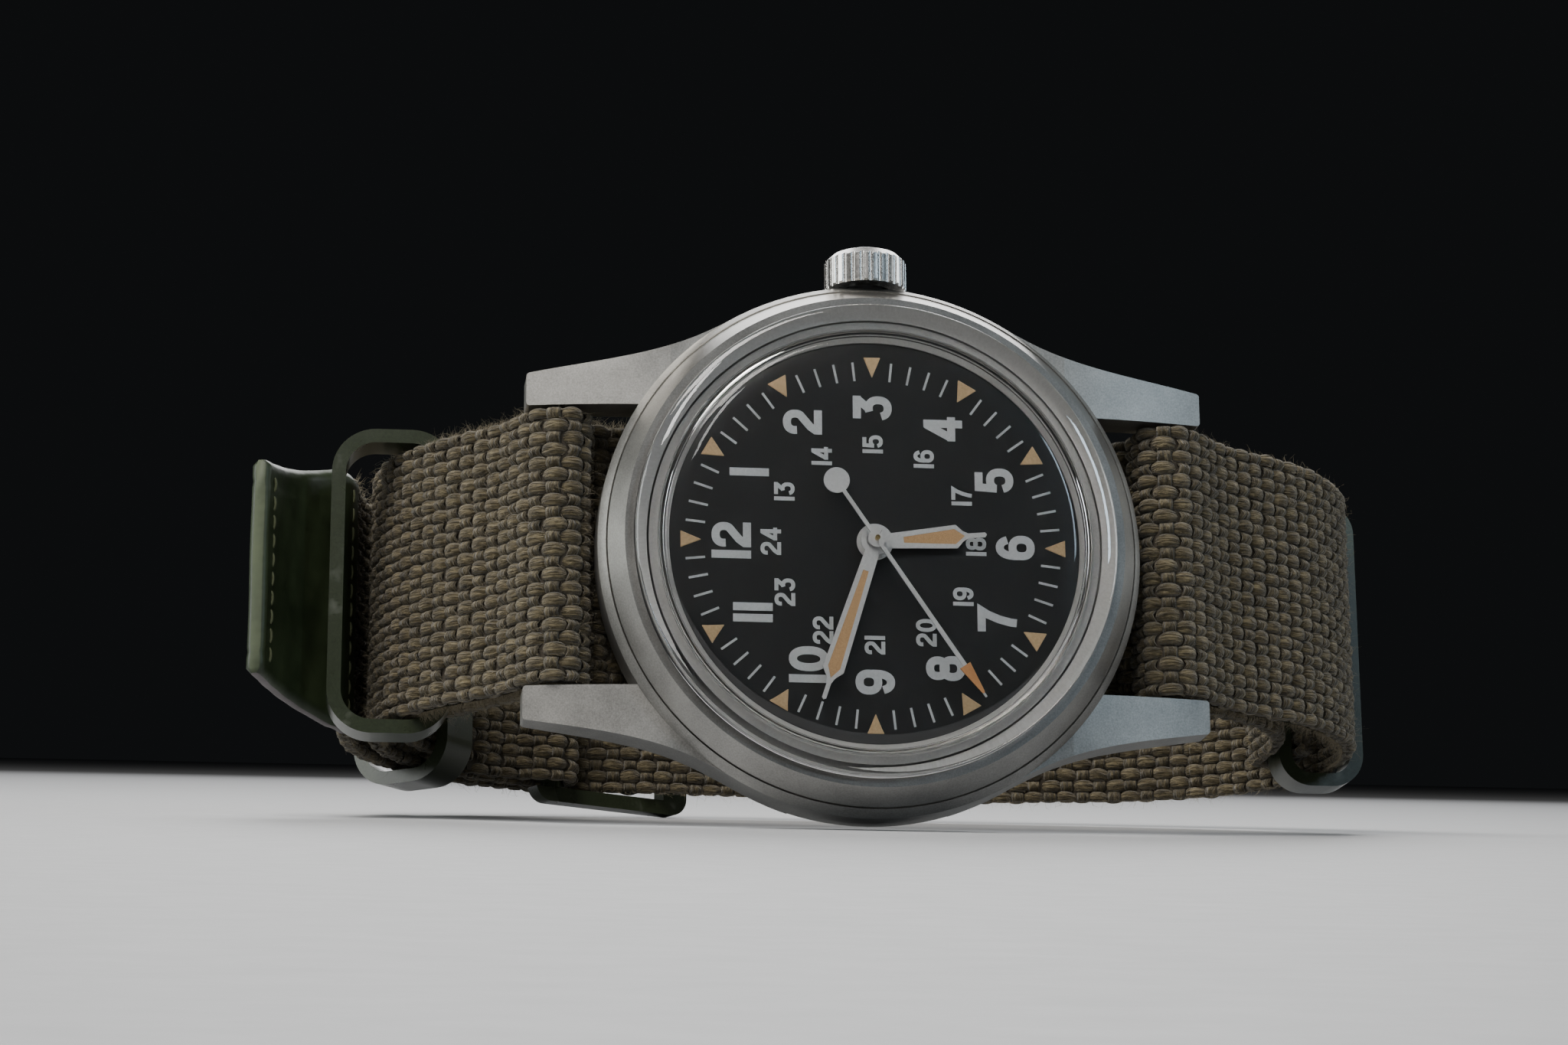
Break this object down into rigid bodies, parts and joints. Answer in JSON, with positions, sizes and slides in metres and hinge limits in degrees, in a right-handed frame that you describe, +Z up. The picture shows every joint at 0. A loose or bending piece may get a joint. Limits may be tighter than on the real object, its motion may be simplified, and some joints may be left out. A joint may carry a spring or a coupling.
{
  "type": "wristwatch",
  "caption": "Round hand-wound field wristwatch with domed glass, fluted crown and a pull-through canvas strap with leather end, buckled in a loop and standing on its side",
  "frame": {"origin": "centre of the footprint, on the surface it stands on", "axes": "+Z up; the dial faces -Y, leaning back; +X runs from 12 o'clock to 6 o'clock; the crown is on top"},
  "size_m": [0.0846, 0.0518, 0.0411],
  "materials": {
    "blasted_steel": "bead blasted",
    "steel": "plain ground",
    "loop_metal": "dull olive coating",
    "glass": "clear domed",
    "gasket": "matte",
    "rehaut": "matte grey",
    "dial_black": "matte black",
    "plate_nickel": "nickel plated, grained",
    "gilt": "gilt",
    "ruby": "polished",
    "hand_white": "satin pale grey",
    "lume": "aged luminous paint",
    "canvas": "coarse woven",
    "leather": "olive, finished"
  },
  "bodies": {
    "case": {"mid_case": "blasted_steel", "bezel_ring": "blasted_steel", "crystal": "glass", "crystal_gasket": "gasket", "rehaut_ring": "rehaut", "dial": "dial_black", "case_back": "blasted_steel", "case_back_gasket": "gasket", "crown_tube": "steel", "movement_ring": "plate_nickel", "spring_bars": "steel", "main_plate": "plate_nickel", "barrel_bridge": "plate_nickel", "train_bridge": "plate_nickel", "balance_cock": "plate_nickel", "pallet_cock": "plate_nickel", "jewels": "ruby", "movement_screws": "steel", "click_spring": "steel", "strap_canvas": "canvas", "under_strap": "canvas", "strap_leather_end": "leather", "front_keeper": "loop_metal", "rear_keeper": "loop_metal", "under_strap_loop": "loop_metal", "buckle_frame": "loop_metal", "buckle_bar": "loop_metal"},
    "seconds_arbor": {"seconds_wheel": "gilt", "seconds_hand": "hand_white", "seconds_tip": "lume"},
    "minutes_arbor": {"centre_wheel": "gilt", "cannon_pinion": "steel", "minute_hand": "hand_white", "minute_lume": "lume"},
    "hours_pipe": {"hour_wheel": "gilt", "hour_hand": "hand_white", "hour_lume": "lume"},
    "minute_wheel": {"minute_wheel": "steel"},
    "third_wheel": {"third_wheel": "gilt"},
    "escape_wheel": {"escape_wheel": "steel"},
    "barrel": {"barrel": "gilt", "barrel_cover": "gilt", "mainspring": "steel"},
    "winding_pinion": {"winding_pinion": "steel"},
    "crown": {"crown": "blasted_steel", "crown_gasket": "gasket", "stem": "steel"},
    "sliding_pinion": {"sliding_pinion": "steel"},
    "crown_wheel": {"crown_wheel": "steel"},
    "ratchet": {"barrel_arbor": "steel", "ratchet_wheel": "steel"},
    "setting_lever": {"setting_lever": "steel"},
    "yoke": {"yoke": "steel"},
    "click": {"click": "steel"},
    "pallet_fork": {"pallet_fork": "steel"},
    "balance": {"balance_wheel": "gilt", "hairspring": "steel"},
    "buckle_tongue": {"buckle_tongue": "loop_metal"}
  },
  "joints": [
    {"name": "seconds", "type": "hinge", "parent": "case", "child": "seconds_arbor", "pos_m": [0.00064, -0.0175, 0.01918], "axis": [0, -0.9804, 0.197], "continuous": true},
    {"name": "minutes", "type": "hinge", "parent": "case", "child": "minutes_arbor", "pos_m": [0.00064, -0.0175, 0.01918], "axis": [0, -0.9804, 0.197], "continuous": true},
    {"name": "hours", "type": "hinge", "parent": "case", "child": "hours_pipe", "pos_m": [0.00064, -0.0175, 0.01918], "axis": [0, -0.9804, 0.197], "continuous": true},
    {"name": "minute_wheel_turn", "type": "hinge", "parent": "case", "child": "minute_wheel", "pos_m": [0.00209, -0.017, 0.02164], "axis": [0, -0.9804, 0.197], "continuous": true},
    {"name": "third_wheel_turn", "type": "hinge", "parent": "case", "child": "third_wheel", "pos_m": [0.00584, -0.0175, 0.01918], "axis": [0, -0.9804, 0.197], "continuous": true},
    {"name": "escape_wheel_turn", "type": "hinge", "parent": "case", "child": "escape_wheel", "pos_m": [0.00304, -0.01839, 0.01476], "axis": [0, -0.9804, 0.197], "continuous": true},
    {"name": "barrel_turn", "type": "hinge", "parent": "case", "child": "barrel", "pos_m": [-0.00509, -0.01709, 0.02122], "axis": [0, -0.9804, 0.197], "continuous": true},
    {"name": "crown_turn", "type": "hinge", "parent": "case", "child": "winding_pinion", "pos_m": [0.00064, -0.01569, 0.0282], "axis": [0, 0.197, 0.9804], "continuous": true},
    {"name": "crown_pull", "type": "slide", "parent": "winding_pinion", "child": "crown", "axis": [0, 0.197, 0.9804], "range_m": [0, 0.0009]},
    {"name": "sliding_pinion_slide", "type": "slide", "parent": "winding_pinion", "child": "sliding_pinion", "axis": [0, 0.197, 0.9804], "range_m": [-0.0005, 0]},
    {"name": "crown_wheel_turn", "type": "hinge", "parent": "case", "child": "crown_wheel", "pos_m": [-0.00096, -0.01604, 0.02643], "axis": [0, -0.9804, 0.197], "continuous": true},
    {"name": "ratchet_turn", "type": "hinge", "parent": "case", "child": "ratchet", "pos_m": [-0.00509, -0.01709, 0.02122], "axis": [0, -0.9804, 0.197], "continuous": true},
    {"name": "setting_lever_turn", "type": "hinge", "parent": "case", "child": "setting_lever", "pos_m": [0.00324, -0.01708, 0.02889], "axis": [0, -0.9804, 0.197], "range_deg": [-15, 0]},
    {"name": "yoke_turn", "type": "hinge", "parent": "case", "child": "yoke", "pos_m": [-0.00226, -0.01761, 0.02624], "axis": [0, -0.9804, 0.197], "range_deg": [-8, 0]},
    {"name": "click_turn", "type": "hinge", "parent": "case", "child": "click", "pos_m": [-0.01026, -0.01609, 0.0193], "axis": [0, -0.9804, 0.197], "range_deg": [0, 8], "stiffness_Nm_per_rad": 0.000005},
    {"name": "fork_swing", "type": "hinge", "parent": "case", "child": "pallet_fork", "pos_m": [0.00119, -0.01857, 0.01384], "axis": [0, -0.9804, 0.197], "range_deg": [-5, 5]},
    {"name": "balance_swing", "type": "hinge", "parent": "case", "child": "balance", "pos_m": [-0.00196, -0.0189, 0.01222], "axis": [0, -0.9804, 0.197], "range_deg": [-150, 150], "stiffness_Nm_per_rad": 0.00000063},
    {"name": "tongue_lift", "type": "hinge", "parent": "case", "child": "buckle_tongue", "pos_m": [-0.01896, 0.01789, 0.01207], "axis": [0, 0.197, 0.9804], "range_deg": [0, 12]}
  ],
  "couplings": [
    {"joint": "minutes", "follows": "seconds", "ratio": 0.016667},
    {"joint": "hours", "follows": "seconds", "ratio": 0.0013889},
    {"joint": "minute_wheel_turn", "follows": "seconds", "ratio": -0.0055556},
    {"joint": "third_wheel_turn", "follows": "seconds", "ratio": -0.13333},
    {"joint": "escape_wheel_turn", "follows": "seconds", "ratio": -12},
    {"joint": "barrel_turn", "follows": "seconds", "ratio": -0.0025},
    {"joint": "crown_wheel_turn", "follows": "crown_turn", "ratio": 0.63636},
    {"joint": "ratchet_turn", "follows": "crown_turn", "ratio": -0.36842},
    {"joint": "sliding_pinion_slide", "follows": "crown_pull", "ratio": -0.55},
    {"joint": "setting_lever_turn", "follows": "crown_pull", "rad_per_m": -290},
    {"joint": "yoke_turn", "follows": "crown_pull", "rad_per_m": -155}
  ]
}
